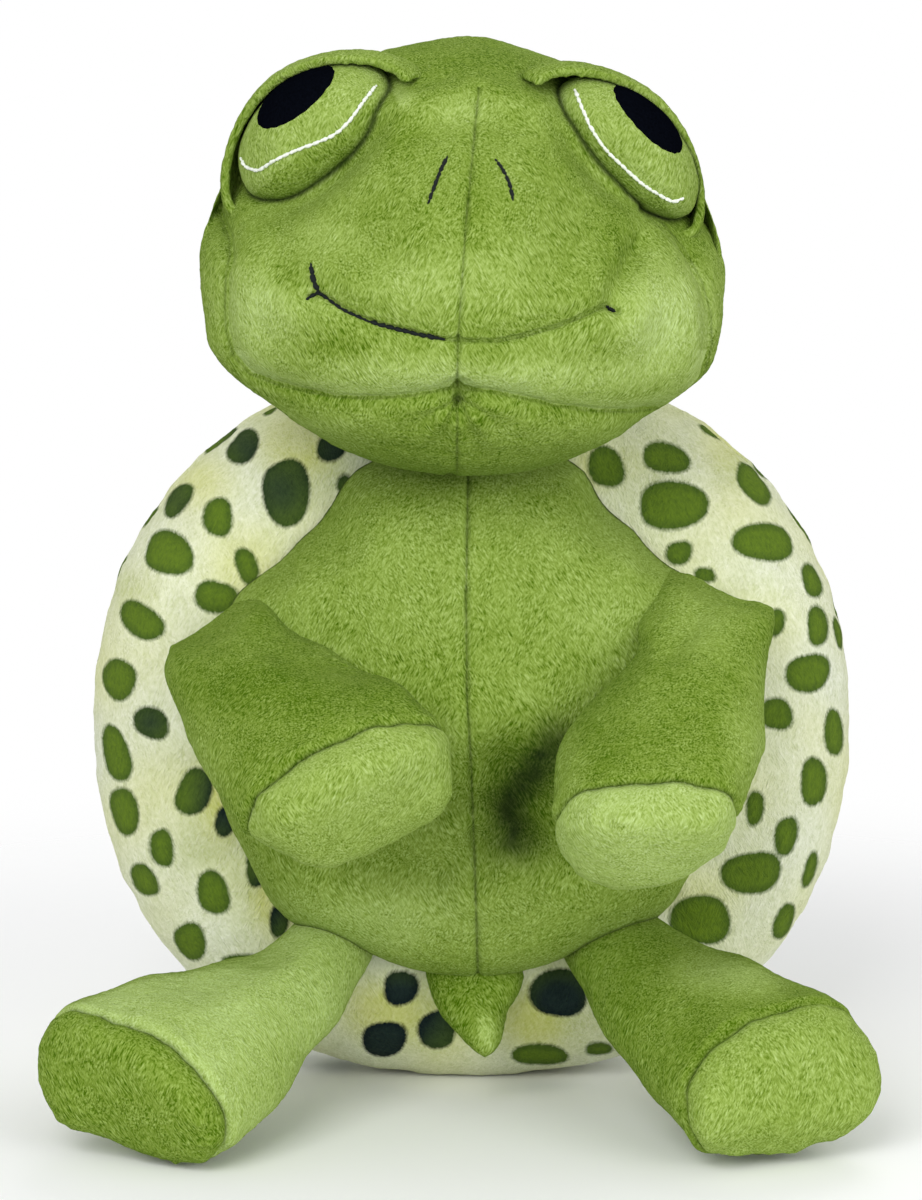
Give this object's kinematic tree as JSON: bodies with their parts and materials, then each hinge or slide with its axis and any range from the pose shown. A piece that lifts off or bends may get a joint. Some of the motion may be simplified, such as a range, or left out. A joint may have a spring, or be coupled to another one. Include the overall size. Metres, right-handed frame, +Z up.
{
  "type": "plush turtle",
  "caption": "Sitting stuffed plush turtle with a domed spotted shell, embroidered sleepy face, and sprung head, arms, legs and tail.",
  "frame": {"origin": "on the flat of the seat, under the shell, just behind the rim seam", "axes": "+Z up, the turtle faces -Y, and its own left side is +X"},
  "size_m": [0.1879, 0.1558, 0.2485],
  "materials": {
    "green_pile": "short soft pile, matte",
    "light_pile": "short soft pile, nap brushed the other way, matte",
    "shell_print": "short soft pile, cream printed with round green spots, matte",
    "filling": "loose white fibre",
    "pellets": "sewn pouch of pellets",
    "dark_patch": "close dark embroidery, slight sheen",
    "black_thread": "stitched thread, slight sheen",
    "white_thread": "stitched thread, slight sheen"
  },
  "bodies": {
    "body": {"shell_back": "shell_print", "shell_front": "shell_print", "belly_left": "green_pile", "belly_right": "green_pile", "body_stuffing": "filling", "seat_pouch": "pellets"},
    "neck": {"neck_stuffing": "filling"},
    "head": {"face_left": "green_pile", "face_right": "green_pile", "head_back_left": "green_pile", "head_back_right": "green_pile", "head_stuffing": "filling", "eye_left": "green_pile", "eye_right": "green_pile", "lid_left": "green_pile", "lid_right": "green_pile", "pupil_left": "dark_patch", "pupil_right": "dark_patch", "eye_line_left": "white_thread", "eye_line_right": "white_thread", "mouth_stitch": "black_thread", "nostril_left": "black_thread", "nostril_right": "black_thread"},
    "arm_left": {"arm_cover_left": "green_pile", "paw_pad_left": "light_pile", "arm_stuffing_left": "filling"},
    "arm_right": {"arm_cover_right": "green_pile", "paw_pad_right": "light_pile", "arm_stuffing_right": "filling"},
    "leg_left": {"leg_cover_left": "green_pile", "sole_pad_left": "light_pile", "leg_stuffing_left": "filling"},
    "leg_right": {"leg_cover_right": "green_pile", "sole_pad_right": "light_pile", "leg_stuffing_right": "filling"},
    "tail": {"tail_cover": "green_pile", "tail_stuffing": "filling"}
  },
  "joints": [
    {"name": "neck_turn", "type": "hinge", "parent": "body", "child": "neck", "pos_m": [0, -0.00963, 0.1607], "axis": [0, 0, 1], "range_deg": [-20, 20], "stiffness_Nm_per_rad": 0.8},
    {"name": "head_nod", "type": "hinge", "parent": "neck", "child": "head", "pos_m": [0, -0.00963, 0.1607], "axis": [1, 0, 0], "range_deg": [-18, 9], "stiffness_Nm_per_rad": 1.5},
    {"name": "shoulder_left", "type": "hinge", "parent": "body", "child": "arm_left", "pos_m": [0.05402, -0.01825, 0.12225], "axis": [0, 0, 1], "range_deg": [0, 40], "stiffness_Nm_per_rad": 0.2},
    {"name": "shoulder_right", "type": "hinge", "parent": "body", "child": "arm_right", "pos_m": [-0.05948, -0.01898, 0.11176], "axis": [0, 0, 1], "range_deg": [-42, 0], "stiffness_Nm_per_rad": 0.2},
    {"name": "hip_left", "type": "hinge", "parent": "body", "child": "leg_left", "pos_m": [0.03201, -0.02411, 0.03841], "axis": [-0.8486, -0.5291, 0], "range_deg": [0, 18], "stiffness_Nm_per_rad": 1, "springref_deg": -1.72},
    {"name": "hip_right", "type": "hinge", "parent": "body", "child": "leg_right", "pos_m": [-0.03201, -0.02411, 0.03841], "axis": [-0.7915, 0.6112, 0], "range_deg": [0, 18], "stiffness_Nm_per_rad": 1, "springref_deg": -1.72},
    {"name": "tail_seam", "type": "hinge", "parent": "body", "child": "tail", "pos_m": [0, -0.02651, 0.0327], "axis": [1, 0, 0], "range_deg": [-25, 0], "stiffness_Nm_per_rad": 0.02}
  ]
}
